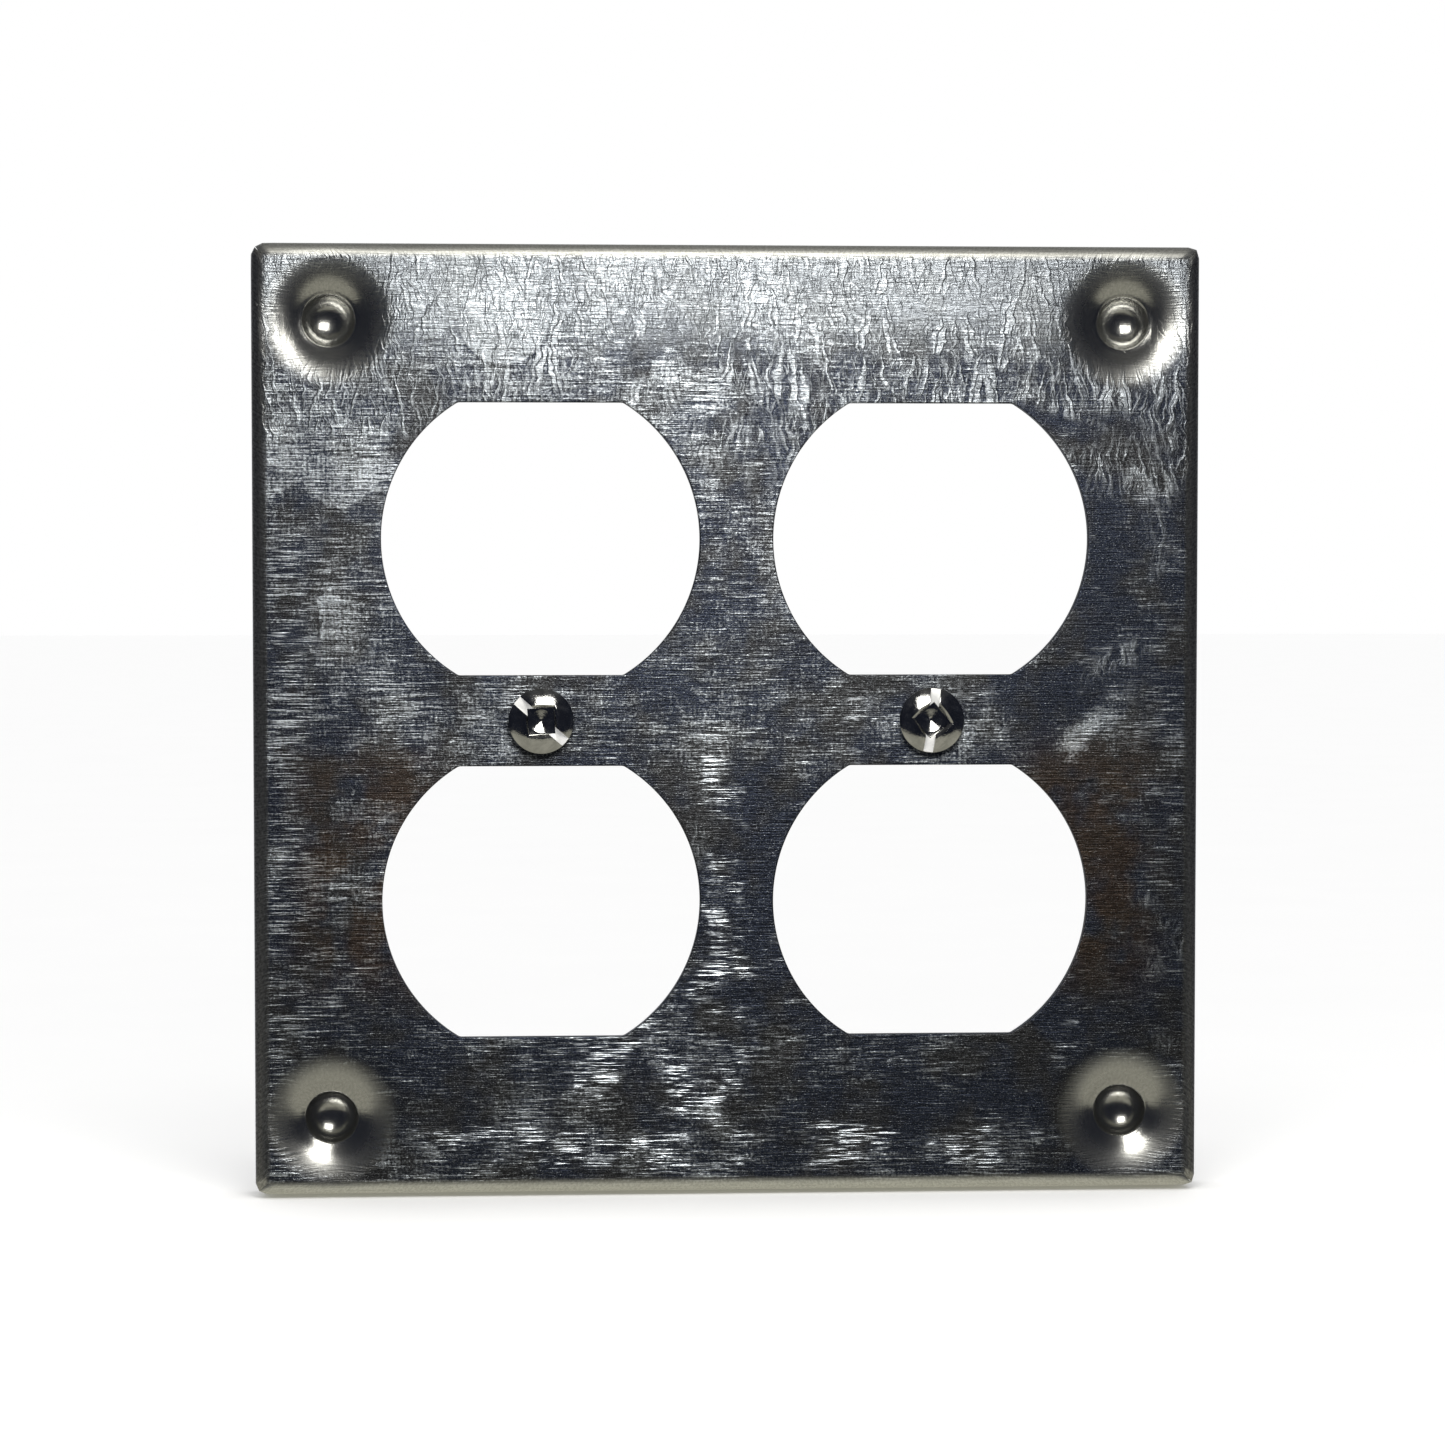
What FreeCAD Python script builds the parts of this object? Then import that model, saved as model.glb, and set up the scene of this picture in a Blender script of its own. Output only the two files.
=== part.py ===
import FreeCAD, Part

import math
import os

# A square surface cover for two duplex receptacles: one stamped and folded sheet of
# galvanised steel, two loose device screws and the fibre washers that keep them in it.
#
# Frame, in millimetres: +Z up, the wall plane is y = 0, the face looks along -Y, and the
# origin lies in the wall plane, midway between the two device screws.

# Cover plate: the outline is stamped slightly to the left of its own openings.
PLATE_SIDE = 101.6
PLATE_OFFSET_X = -0.8
PLATE_DEPTH = 6.35
SHEET = 1.2
BEND_RADIUS = 1.6
CORNER_RADIUS = 1.1
SEAM_WIDTH = 0.25

# Receptacle windows: round, with a flat at the top and at the bottom.
GANG_SPACING = 41.86
WINDOW_SPACING_Z = 38.8
WINDOW_RADIUS = 17.0
WINDOW_HEIGHT = 29.1
WINDOW_CORNER_RADIUS = 0.8
SCREW_HOLE_RADIUS = 2.1

# Corner dimples: a dish pressed into the face, with a deep round cup at its middle.
DIMPLE_REACH = 42.65
DISH_RADIUS = 6.5
DISH_DEPTH = 1.3
LEDGE_RADIUS = 3.5
CUP_RADIUS = 2.85
CUP_DEPTH = 4.9
CUP_WALL = 1.0

# Device screws: 6-32 by 3/8 in, dome head with a slot across a square socket. The thread
# is a plain cylinder of its outside radius, and stops short of the head at a thinner neck.
SHANK_RADIUS = 1.7525
SHANK_LENGTH = 9.525
NECK_RADIUS = 1.5
TIP_CHAMFER = 0.4
HEAD_RADIUS = 3.5
HEAD_HEIGHT = 2.1
HEAD_RIM = 0.95
SLOT_WIDTH = 1.08
SLOT_DEPTH = 1.1
SOCKET_WIDTH = 2.82
SOCKET_DEPTH = 1.7
SLOT_ANGLE = {"left": -41.0, "right": 83.0}

# Retaining washers: fibre discs on the necks, held there by the start of the thread. The gap
# to the back of the sheet is how far a screw can be drawn out.
WASHER_RADIUS = 3.9
WASHER_THICKNESS = 0.8
WASHER_GAP = 2.4
RUNNING_CLEARANCE = 0.04

# How far a cutting tool runs past the surface that it opens.
OVERRUN = 1.0

# Derived places.
FACE_Y = -PLATE_DEPTH
FACE_BACK_Y = FACE_Y + SHEET
WASHER_FRONT_Y = FACE_BACK_Y + WASHER_GAP
WASHER_BACK_Y = WASHER_FRONT_Y + WASHER_THICKNESS
PLATE_HALF = PLATE_SIDE / 2
SIDES = {"left": -1, "right": 1}
DEPTHWISE = FreeCAD.Vector(0, 1, 0)


def at(x, y, z):
    """A point in the part's frame."""
    return FreeCAD.Vector(x, y, z)


def disc(radius, x, z, y_from, y_to):
    """A cylinder along Y, from one depth to another."""
    return Part.makeCylinder(radius, y_to - y_from, at(x, y_from, z), DEPTHWISE)


def turned(edges, x, z):
    """The solid swept by a closed outline, drawn at z = 0 beside the Y axis, moved to x, z."""
    outline = Part.Wire(Part.__sortEdges__(edges))
    solid = Part.Face(outline).revolve(at(0, 0, 0), DEPTHWISE, 360)
    solid.translate(at(x, 0, z))
    return solid


def line(start, end):
    """A straight edge between two (radius, y) points."""
    return Part.makeLine(at(start[0], start[1], 0), at(end[0], end[1], 0))


def arc(start, middle, end):
    """An arc edge through three (radius, y) points."""
    points = [at(radius, y, 0) for radius, y in (start, middle, end)]
    return Part.Arc(*points).toShape()


def on_circle(centre, radius, angle):
    """The (radius, y) point of a circle at an angle in degrees."""
    turn = math.radians(angle)
    return (centre[0] + radius * math.cos(turn), centre[1] + radius * math.sin(turn))


def rolled_block(half, front_y, bend):
    """A square block from y = front_y past the wall plane, with its front edges rolled over."""
    side = 2 * half
    blocks = []
    for along in ("XLength", "ZLength"):
        block = Part.makeBox(side, OVERRUN - front_y, side, at(-half, front_y, -half))
        edges = [
            edge
            for edge in block.Edges
            if edge.BoundBox.YMax < front_y + bend / 2 and getattr(edge.BoundBox, along) > half
        ]
        blocks.append(block.makeFillet(bend, edges))
    return blocks[0].common(blocks[1])


def outline_prism(half, corner_radius):
    """A square prism along Y, as deep as the plate, with rounded corners."""
    side = 2 * half
    prism = Part.makeBox(side, PLATE_DEPTH, side, at(-half, FACE_Y, -half))
    edges = [edge for edge in prism.Edges if edge.BoundBox.YLength > PLATE_DEPTH / 2]
    return prism.makeFillet(corner_radius, edges)


def corner_seam(angle):
    """The open slit between two flanges, across one corner at this angle about Y."""
    outermost = PLATE_HALF * math.sqrt(2)
    length = 4 * BEND_RADIUS
    slit_depth = PLATE_DEPTH - BEND_RADIUS
    start = at(outermost - length, -slit_depth, -SEAM_WIDTH / 2)
    slit = Part.makeBox(length + OVERRUN, slit_depth + OVERRUN, SEAM_WIDTH, start)
    slit.rotate(at(0, 0, 0), DEPTHWISE, angle)
    return slit


def folded_tray():
    """The sheet folded back into four flanges, centred on its own outline."""
    outside = rolled_block(PLATE_HALF, FACE_Y, BEND_RADIUS)
    outside = outside.common(outline_prism(PLATE_HALF, CORNER_RADIUS))
    inside = rolled_block(PLATE_HALF - SHEET, FACE_BACK_Y, BEND_RADIUS - SHEET)
    seams = [corner_seam(45 + 90 * corner) for corner in range(4)]
    return outside.cut(inside).cut(Part.makeCompound(seams))


def dish(x, z, thickness, top_y):
    """The dish down to its ledge: an ogee of two equal arcs, offset by a thickness."""
    fall = DISH_RADIUS - LEDGE_RADIUS
    bend = (fall**2 + DISH_DEPTH**2) / (4 * DISH_DEPTH)
    slope = 2 * math.degrees(math.atan2(DISH_DEPTH, fall))
    lip = (DISH_RADIUS, FACE_Y + bend)
    bowl = (LEDGE_RADIUS, FACE_Y + DISH_DEPTH - bend)
    lip_bend = bend - thickness
    bowl_bend = bend + thickness
    lip_arc = [on_circle(lip, lip_bend, -90 - slope * share) for share in (0, 0.5, 1)]
    bowl_arc = [on_circle(bowl, bowl_bend, 90 - slope * share) for share in (1, 0.5, 0)]
    floor_y = bowl_arc[2][1]
    edges = [
        line((0, top_y), (DISH_RADIUS, top_y)),
        line((DISH_RADIUS, top_y), lip_arc[0]),
        arc(*lip_arc),
        arc(*bowl_arc),
        line(bowl_arc[2], (0, floor_y)),
        line((0, floor_y), (0, top_y)),
    ]
    return turned(edges, x, z)


def cup(x, z, radius, bottom_y, top_y):
    """A round-bottomed plug that ends at a given depth."""
    centre = (0, bottom_y - radius)
    edges = [
        line((0, top_y), (radius, top_y)),
        line((radius, top_y), (radius, centre[1])),
        arc((radius, centre[1]), on_circle(centre, radius, 45), (0, bottom_y)),
        line((0, bottom_y), (0, top_y)),
    ]
    return turned(edges, x, z)


def dimple_metal(x, z):
    """The metal that one dimple pushes out behind the face."""
    inside_sheet_y = FACE_Y + SHEET / 2
    nose_y = FACE_Y + CUP_DEPTH + CUP_WALL
    outer_cup = cup(x, z, CUP_RADIUS + CUP_WALL, nose_y, inside_sheet_y)
    return dish(x, z, SHEET, inside_sheet_y).fuse(outer_cup)


def dimple_hollow(x, z):
    """The hollow that one dimple leaves in the face."""
    ahead_y = FACE_Y - OVERRUN
    inner_cup = cup(x, z, CUP_RADIUS, FACE_Y + CUP_DEPTH, ahead_y)
    return dish(x, z, 0, ahead_y).fuse(inner_cup)


def receptacle_window(x, z):
    """The cutter for one window: a round bar with a flat above and below."""
    start_y = FACE_Y - OVERRUN
    length = SHEET + 2 * OVERRUN
    bar = disc(WINDOW_RADIUS, 0, 0, start_y, start_y + length)
    width = 2 * (WINDOW_RADIUS + OVERRUN)
    slab = Part.makeBox(width, length, WINDOW_HEIGHT, at(-width / 2, start_y, -WINDOW_HEIGHT / 2))
    window = bar.common(slab)
    half_flat = math.sqrt(WINDOW_RADIUS**2 - (WINDOW_HEIGHT / 2) ** 2)
    corners = [
        edge
        for edge in window.Edges
        if edge.BoundBox.YLength > length / 2 and abs(abs(edge.CenterOfMass.x) - half_flat) < OVERRUN
    ]
    window = window.makeFillet(WINDOW_CORNER_RADIUS, corners)
    window.translate(at(x, 0, z))
    return window


def cover_plate():
    """The whole sheet: tray, corner dimples, four windows and two screw holes."""
    plate = folded_tray()
    corners = [(x * DIMPLE_REACH, z * DIMPLE_REACH) for x in (-1, 1) for z in (-1, 1)]
    for x, z in corners:
        plate = plate.fuse(dimple_metal(x, z)).cut(dimple_hollow(x, z))
    plate.translate(at(PLATE_OFFSET_X, 0, 0))
    for side in SIDES.values():
        x = side * GANG_SPACING / 2
        for level in (-1, 1):
            plate = plate.cut(receptacle_window(x, level * WINDOW_SPACING_Z / 2))
        hole = disc(SCREW_HOLE_RADIUS, x, 0, FACE_Y - OVERRUN, FACE_BACK_Y + OVERRUN)
        plate = plate.cut(hole)
    return plate.removeSplitter()


def screw_blank():
    """Head, neck and shank turned in one piece about the Y axis, head seated on the face."""
    rim_y = FACE_Y - HEAD_RIM
    crown_y = FACE_Y - HEAD_HEIGHT
    thread_y = WASHER_BACK_Y + RUNNING_CLEARANCE
    tip_y = FACE_Y + SHANK_LENGTH
    crown = HEAD_HEIGHT - HEAD_RIM
    dome = (HEAD_RADIUS**2 + crown**2) / (2 * crown)
    half_angle = math.degrees(math.asin(HEAD_RADIUS / dome)) / 2
    middle = on_circle((0, crown_y + dome), dome, -90 + half_angle)
    corners = [
        (HEAD_RADIUS, rim_y),
        (HEAD_RADIUS, FACE_Y),
        (NECK_RADIUS, FACE_Y),
        (NECK_RADIUS, thread_y),
        (SHANK_RADIUS, thread_y),
        (SHANK_RADIUS, tip_y - TIP_CHAMFER),
        (SHANK_RADIUS - TIP_CHAMFER, tip_y),
        (0, tip_y),
        (0, crown_y),
    ]
    edges = [line(start, end) for start, end in zip(corners, corners[1:])]
    edges.append(arc((0, crown_y), middle, (HEAD_RADIUS, rim_y)))
    return turned(edges, 0, 0)


def drive_recess():
    """The slot across the head, along the diagonal of the square socket."""
    front_y = FACE_Y - HEAD_HEIGHT - OVERRUN
    length = 2 * (HEAD_RADIUS + OVERRUN)
    slot = Part.makeBox(
        length, SLOT_DEPTH + OVERRUN, SLOT_WIDTH, at(-length / 2, front_y, -SLOT_WIDTH / 2)
    )
    half = SOCKET_WIDTH / 2
    socket = Part.makeBox(SOCKET_WIDTH, SOCKET_DEPTH + OVERRUN, SOCKET_WIDTH, at(-half, front_y, -half))
    socket.rotate(at(0, 0, 0), DEPTHWISE, 45)
    return slot.fuse(socket)


def device_screw(side_name):
    """One screw, its slot lying at its own angle above the X axis."""
    screw = screw_blank().cut(drive_recess())
    screw.rotate(at(0, 0, 0), DEPTHWISE, -SLOT_ANGLE[side_name])
    screw.translate(at(SIDES[side_name] * GANG_SPACING / 2, 0, 0))
    return screw


def retaining_washer(side_name):
    """One fibre washer, on the neck of its screw and clear of the back of the sheet."""
    x = SIDES[side_name] * GANG_SPACING / 2
    body = disc(WASHER_RADIUS, x, 0, WASHER_FRONT_Y, WASHER_BACK_Y)
    bore_radius = NECK_RADIUS + RUNNING_CLEARANCE
    bore = disc(bore_radius, x, 0, WASHER_FRONT_Y - OVERRUN, WASHER_BACK_Y + OVERRUN)
    return body.cut(bore)


def write_node(name, shape):
    """Save one named piece as its own STEP file, after checking that it is one sound solid."""
    if len(shape.Solids) != 1 or not shape.isValid():
        raise ValueError(f"{name} isn't one valid solid")
    shape.Solids[0].exportStep(os.path.join("parts", f"{name}.step"))


def main():
    os.makedirs("parts", exist_ok=True)
    write_node("cover_plate", cover_plate())
    for side_name in SIDES:
        write_node(f"device_screw_{side_name}", device_screw(side_name))
        write_node(f"retaining_washer_{side_name}", retaining_washer(side_name))


main()
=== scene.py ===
import math

import bmesh
import bpy
import numpy as np
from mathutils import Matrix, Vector
from mathutils.geometry import delaunay_2d_cdt


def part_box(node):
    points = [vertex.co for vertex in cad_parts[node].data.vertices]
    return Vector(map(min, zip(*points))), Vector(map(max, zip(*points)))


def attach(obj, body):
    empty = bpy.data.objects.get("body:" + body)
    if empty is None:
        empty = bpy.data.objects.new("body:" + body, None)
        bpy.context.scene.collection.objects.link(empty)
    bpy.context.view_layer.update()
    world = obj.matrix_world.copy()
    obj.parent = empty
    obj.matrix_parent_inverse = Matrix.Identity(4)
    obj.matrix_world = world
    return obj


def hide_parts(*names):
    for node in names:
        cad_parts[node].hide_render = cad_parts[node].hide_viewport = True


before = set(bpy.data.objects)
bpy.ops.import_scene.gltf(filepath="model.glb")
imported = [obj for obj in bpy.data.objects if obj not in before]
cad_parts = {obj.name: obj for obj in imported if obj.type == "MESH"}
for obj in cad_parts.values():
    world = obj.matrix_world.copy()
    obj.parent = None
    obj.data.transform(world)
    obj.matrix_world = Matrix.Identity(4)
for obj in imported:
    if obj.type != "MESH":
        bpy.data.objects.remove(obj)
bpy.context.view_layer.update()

# Shapes are worked out in millimetres, in the row frame, and scaled to metres at the end.
MM = 0.001

# Places from the frame.
PLATE_LOW, PLATE_HIGH = (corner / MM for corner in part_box("cover_plate"))
PLATE_CENTRE = (PLATE_LOW + PLATE_HIGH) / 2
HALF = (PLATE_HIGH.x - PLATE_LOW.x) / 2
FACE_Y = PLATE_LOW.y
DEPTH = PLATE_HIGH.y - PLATE_LOW.y
SIDES = ("left", "right")
SCREW_X = {side: sum(c.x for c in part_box(f"device_screw_{side}")) / 2 / MM for side in SIDES}

# The sheet, its bends and its corners.
SHEET = 1.2
BEND = 1.4
FLAT = HALF - BEND
ARC = BEND * math.pi / 2
CORNER_ROUND = {(-1, 1): 1.5, (1, 1): 0.95, (1, -1): 0.95, (-1, -1): 1.25}
SEAM_GAP = {(-1, 1): 0.09, (1, 1): 0.045, (1, -1): 0.05, (-1, -1): 0.045}

# Receptacle windows and screw holes.
WINDOW_RADIUS = 17.0
WINDOW_HALF_HEIGHT = 14.55
WINDOW_CORNER = 0.8
WINDOW_Z = 19.4
EASE_Z = WINDOW_HALF_HEIGHT - WINDOW_CORNER
EASE_X = math.sqrt((WINDOW_RADIUS - WINDOW_CORNER) ** 2 - EASE_Z**2)
HOLE_RADIUS = 2.1
EDGE_STEPS = (0.0, 0.04, 0.1, 0.19, 0.33, 0.6)
EDGE_ROLL = 0.19
EDGE_DROP = 0.09

# Corner dimples: a dish that steepens inwards from its rim, then a deep cup in its middle.
DIMPLE_REACH = 42.65
DISH_RIM = 8.6
DISH_SLOPE = 33.0
DISH_STEEPEST = 3.8
DISH_CURVE = 1.2
DISH_FOOT_EASE = 0.5
DISH_FOOT_WIDTH = 0.6
DISH_RADIUS = 6.5
CUP_RADIUS = 2.75
CUP_DEPTH = 4.7
CUP_ROUND = 2.4
CUP_WALL = 1.0
DIMPLE_EASE = 0.3
DIMPLE_RINGS = 48
DIMPLE_SPOKES = 96
LIP_RINGS = (6.8, 7.15, 7.55, 8.0, 8.5)
HOLE_SPOKES = 48

# Marks left on the face: two shallow dents, and a round print left by a tool.
LEFT_DENT = (-33.6, 0.6)
RIGHT_DENT = (38.2, -1.4)
TOOL_MARK = (-24.0, 42.7)
TOOL_MARK_RADIUS = 4.6

# Mesh pitch on the flat of the sheet, the gaps it leaves, and rows across a bend and a flange.
PITCH = 1.1
LOOP_GAP = PITCH * 0.45
LIP_GAP = 0.4
OUTLINE_GAP = 0.15
BEND_ROWS = 10
FLANGE_ROWS = 4


# ------------------------------------------------------------------ the sheet's flat pattern

class FlatMesh:
    """Points of the unfolded sheet, each kept once, and the faces between them."""

    def __init__(self):
        self.index = {}
        self.points = []
        self.faces = []

    def point(self, u, v):
        key = (round(u, 4), round(v, 4))
        if key not in self.index:
            self.index[key] = len(self.points)
            self.points.append((u, v))
        return self.index[key]

    def face(self, corners):
        numbers = [self.point(u, v) for u, v in corners]
        kept = [n for k, n in enumerate(numbers) if n != numbers[k - 1]]
        if len(kept) > 2:
            self.faces.append(kept)

    def strip(self, inner, outer, closed=True):
        """Quads between two rows of points that match one to one."""
        count = len(inner) if closed else len(inner) - 1
        for k in range(count):
            after = (k + 1) % len(inner)
            self.face((inner[k], inner[after], outer[after], outer[k]))


def circle(centre, radius, count):
    turns = [2 * math.pi * k / count for k in range(count)]
    return [(centre[0] + radius * math.cos(t), centre[1] + radius * math.sin(t)) for t in turns]


def window_outline(centre, offset):
    """A circle with a flat above and below and eased corners, grown outwards by an offset."""
    radius = WINDOW_RADIUS + offset
    flat = WINDOW_HALF_HEIGHT + offset
    ease = WINDOW_CORNER + offset
    start = math.atan2(EASE_Z, EASE_X)
    turns = [start * s for s in np.linspace(0, 1, 36)]
    quarter = [(radius * math.cos(turn), radius * math.sin(turn)) for turn in turns]
    for turn in np.linspace(start, math.pi / 2, 8)[1:]:
        quarter.append((EASE_X + ease * math.cos(turn), EASE_Z + ease * math.sin(turn)))
    quarter += [(EASE_X * (1 - s), flat) for s in np.linspace(0, 1, 17)[1:]]
    upper = quarter + [(-x, z) for x, z in reversed(quarter[:-1])]
    ring = upper + [(x, -z) for x, z in reversed(upper[1:-1])]
    return [(centre[0] + x, centre[1] + z) for x, z in ring]


def window_distance(u, v, centre):
    """How far a point lies outside one window, below zero inside it."""
    x = np.abs(u - centre[0])
    z = np.abs(v - centre[1])
    sharp = np.maximum(np.hypot(x, z) - WINDOW_RADIUS, z - WINDOW_HALF_HEIGHT)
    beside = (x > EASE_X) & ((z - EASE_Z) * EASE_X > (x - EASE_X) * EASE_Z)
    return np.where(beside, np.hypot(x - EASE_X, z - EASE_Z) - WINDOW_CORNER, sharp)


DIMPLES = [(x * DIMPLE_REACH, z * DIMPLE_REACH) for x in (-1, 1) for z in (-1, 1)]
GANGS = [SCREW_X[side] - PLATE_CENTRE.x for side in SIDES]
WINDOWS = [(x, z * WINDOW_Z) for x in GANGS for z in (-1, 1)]
HOLES = [(x, 0.0) for x in GANGS]


def dimple_distance(u, v):
    """Distance from a flat point to the middle of the nearest dimple."""
    return np.minimum.reduce([np.hypot(u - x, v - z) for x, z in DIMPLES])


def clear_distance(u, v):
    """Distance from a flat point to the nearest loop that bounds the plain area."""
    gaps = [window_distance(u, v, c) - EDGE_STEPS[-1] for c in WINDOWS]
    gaps += [np.hypot(u - c[0], v - c[1]) - DISH_RADIUS for c in DIMPLES]
    gaps += [np.hypot(u - c[0], v - c[1]) - HOLE_RADIUS - EDGE_STEPS[-1] for c in HOLES]
    gaps += [FLAT - np.abs(u), FLAT - np.abs(v)]
    return np.minimum.reduce(gaps)


def plain_area(mesh, columns):
    """Fills the flat between the square outline and the loops with even triangles."""
    loops = [[(u, -FLAT) for u in columns[:-1]] + [(FLAT, v) for v in columns[:-1]]
             + [(u, FLAT) for u in columns[:0:-1]] + [(-FLAT, v) for v in columns[:0:-1]]]
    loops += [window_outline(c, EDGE_STEPS[-1]) for c in WINDOWS]
    loops += [circle(c, DISH_RADIUS, DIMPLE_SPOKES) for c in DIMPLES]
    loops += [circle(c, HOLE_RADIUS + EDGE_STEPS[-1], HOLE_SPOKES) for c in HOLES]
    points = []
    edges = []
    for loop in loops:
        first = len(points)
        points += loop
        edges += [(first + k, first + (k + 1) % len(loop)) for k in range(len(loop))]
    for centre in DIMPLES:
        for radius in LIP_RINGS:
            ring = circle(centre, radius, DIMPLE_SPOKES)
            points += [p for p in ring if max(abs(p[0]), abs(p[1])) < FLAT - OUTLINE_GAP]
    rows = np.arange(-FLAT, FLAT, PITCH * math.sqrt(3) / 2)
    for number, v in enumerate(rows):
        u = np.arange(-FLAT + (number % 2) * PITCH / 2, FLAT, PITCH)
        beyond_lips = dimple_distance(u, v) > LIP_RINGS[-1] + LIP_GAP
        inside = (clear_distance(u, np.full_like(u, v)) > LOOP_GAP) & beyond_lips
        points += [(x, v) for x in u[inside]]
    vectors = [Vector(p) for p in points]
    outline = list(range(len(loops[0])))
    made = delaunay_2d_cdt(vectors, edges, [outline], 1, 1e-6)
    found = [points[sources[0]] if sources else (p.x, p.y) for p, sources in zip(made[0], made[3])]
    found = np.array(found)
    for triangle in made[2]:
        middle = found[list(triangle)].mean(0)
        if clear_distance(middle[0], middle[1]) > -1e-3:
            mesh.face([tuple(found[k]) for k in triangle])


def flange_width(beyond, corner, inner):
    """Half the width of a flange at a distance past the flat, up to its mitre with the next."""
    turn = min(max(beyond, 0.0) / BEND, math.pi / 2)
    reach = BEND - SHEET if inner else BEND
    opened = SEAM_GAP[corner] * min(turn * 2, 1.0) if beyond > 0 else 0.0
    return FLAT + reach * math.sin(turn) - opened


def flange_strips(mesh, columns):
    """Rows of quads across each bend and flange. Their v is kept as a share of the width."""
    bend = [ARC * k / BEND_ROWS for k in range(BEND_ROWS + 1)]
    length = DEPTH - BEND
    rows = bend + [ARC + length * k / FLANGE_ROWS for k in range(1, FLANGE_ROWS)]
    rows += [ARC + length - EDGE_ROLL / 2, ARC + length]
    for near, far in zip(rows, rows[1:]):
        for sign in (-1, 1):
            inner = [(sign * (FLAT + near), v) for v in columns]
            outer = [(sign * (FLAT + far), v) for v in columns]
            mesh.strip(inner, outer, closed=False)
            mesh.strip([(v, u) for u, v in inner], [(v, u) for u, v in outer], closed=False)


def flat_sheet():
    """The whole unfolded sheet."""
    mesh = FlatMesh()
    count = round(2 * FLAT / PITCH)
    columns = list(np.linspace(-FLAT, FLAT, count + 1))
    plain_area(mesh, columns)
    flange_strips(mesh, columns)
    for centre in WINDOWS:
        rings = [window_outline(centre, step) for step in EDGE_STEPS]
        for inner, outer in zip(rings, rings[1:]):
            mesh.strip(inner, outer)
    for centre in HOLES:
        rings = [circle(centre, HOLE_RADIUS + step, HOLE_SPOKES) for step in EDGE_STEPS]
        for inner, outer in zip(rings, rings[1:]):
            mesh.strip(inner, outer)
    for centre in DIMPLES:
        radii = [DISH_RADIUS * k / DIMPLE_RINGS for k in range(DIMPLE_RINGS + 1)]
        rings = [circle(centre, radius, DIMPLE_SPOKES) for radius in radii]
        for inner, outer in zip(rings, rings[1:]):
            mesh.strip(inner, outer)
    return np.array(mesh.points), mesh.faces


# ------------------------------------------------------------------ folding and pressing

def arc_points(centre, radius, start, end, count=24):
    """Points of an arc between two angles in degrees."""
    turns = np.radians(np.linspace(start, end, count))
    return [(centre[0] + radius * math.cos(t), centre[1] + radius * math.sin(t)) for t in turns]


def eased(points, ease):
    """The same path, ending on the axis, as even points with its corners rounded by averaging."""
    points = np.array(points)
    steps = np.hypot(*np.diff(points, axis=0).T)
    along = np.concatenate([[0], np.cumsum(steps)])
    spaced = np.linspace(0, along[-1], 400)
    path = np.stack([np.interp(spaced, along, points[:, k]) for k in (0, 1)], axis=1)
    reach = max(1, round(ease / (spaced[1] - spaced[0])))
    window = np.hanning(2 * reach + 3)[1:-1]
    window /= window.sum()
    mirrored = np.concatenate([2 * path[0] - path[reach:0:-1], path, path[-2:-2 - reach:-1] * (-1, 1)])
    return np.stack([np.convolve(mirrored[:, k], window, "valid") for k in (0, 1)], axis=1)


def smooth_step(x):
    x = np.clip(x, 0, 1)
    return x * x * (3 - 2 * x)


def dish_depth(radius):
    """How deep a dish is at a distance from its middle, from its slope there."""
    rings = np.linspace(DISH_RIM, CUP_RADIUS, 400)
    rise = np.clip((DISH_RIM - rings) / (DISH_RIM - DISH_STEEPEST), 0, 1) ** DISH_CURVE
    level = 1 - DISH_FOOT_EASE * (1 - smooth_step((rings - CUP_RADIUS) / DISH_FOOT_WIDTH))
    slope = np.tan(np.radians(DISH_SLOPE * rise * level))
    depth = np.cumsum(slope) * (rings[0] - rings[1])
    return np.interp(-np.asarray(radius), -rings, depth)


def dimple_profile(back):
    """(radius, depth) points from the middle of a dimple outwards, on the front or the back."""
    wall = CUP_WALL if back else 0
    radii = np.linspace(DISH_RADIUS, CUP_RADIUS + wall, 60)
    depths = dish_depth(radii) + (SHEET if back else 0)
    turns = np.radians(np.linspace(0, 90, 24))
    out = (CUP_RADIUS + wall) * np.cos(turns)
    deep = CUP_DEPTH + wall + (CUP_ROUND + wall) * (np.sin(turns) - 1)
    cup = np.column_stack([out, deep])
    path = np.concatenate([np.column_stack([radii, depths]), cup[cup[:, 1] > depths[-1]]])
    path = eased(path, DIMPLE_EASE)[::-1].copy()
    path[:, 0] = np.maximum(path[:, 0], 0)
    path[0, 0] = 0
    return path


def edge_distance(u, v):
    """Distance from a flat point to the nearest punched edge."""
    gaps = [window_distance(u, v, c) for c in WINDOWS]
    gaps += [np.hypot(u - c[0], v - c[1]) - HOLE_RADIUS for c in HOLES]
    return np.maximum(np.minimum.reduce(gaps), 0)


def rolled_edge(distance):
    """How far the face drops beside a punched edge."""
    share = np.clip(1 - distance / EDGE_ROLL, 0, 1)
    return EDGE_DROP * (1 - np.sqrt(1 - share**2 * 0.96))


def waviness(u, v):
    """How far the face stands out: a pressed sheet's unevenness, two dents and two low swells."""
    waves = (0.031 * np.sin(u / 9.3 + 0.8) * np.cos(v / 12.1 - 0.4)
             + 0.020 * np.sin(u / 5.1 - v / 7.9 + 2.1)
             + 0.012 * np.cos(u / 3.4 + v / 4.6 - 1.3))
    marks = ((LEFT_DENT, 3.6, -0.11), (RIGHT_DENT, 4.2, -0.10),
             (TOOL_MARK, TOOL_MARK_RADIUS, 0.035), ((6.0, -34.0), 9.0, 0.05))
    for (x, z), radius, height in marks:
        waves = waves + height * np.exp(-((u - x) ** 2 + (v - z) ** 2) / radius**2)
    return waves


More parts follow.
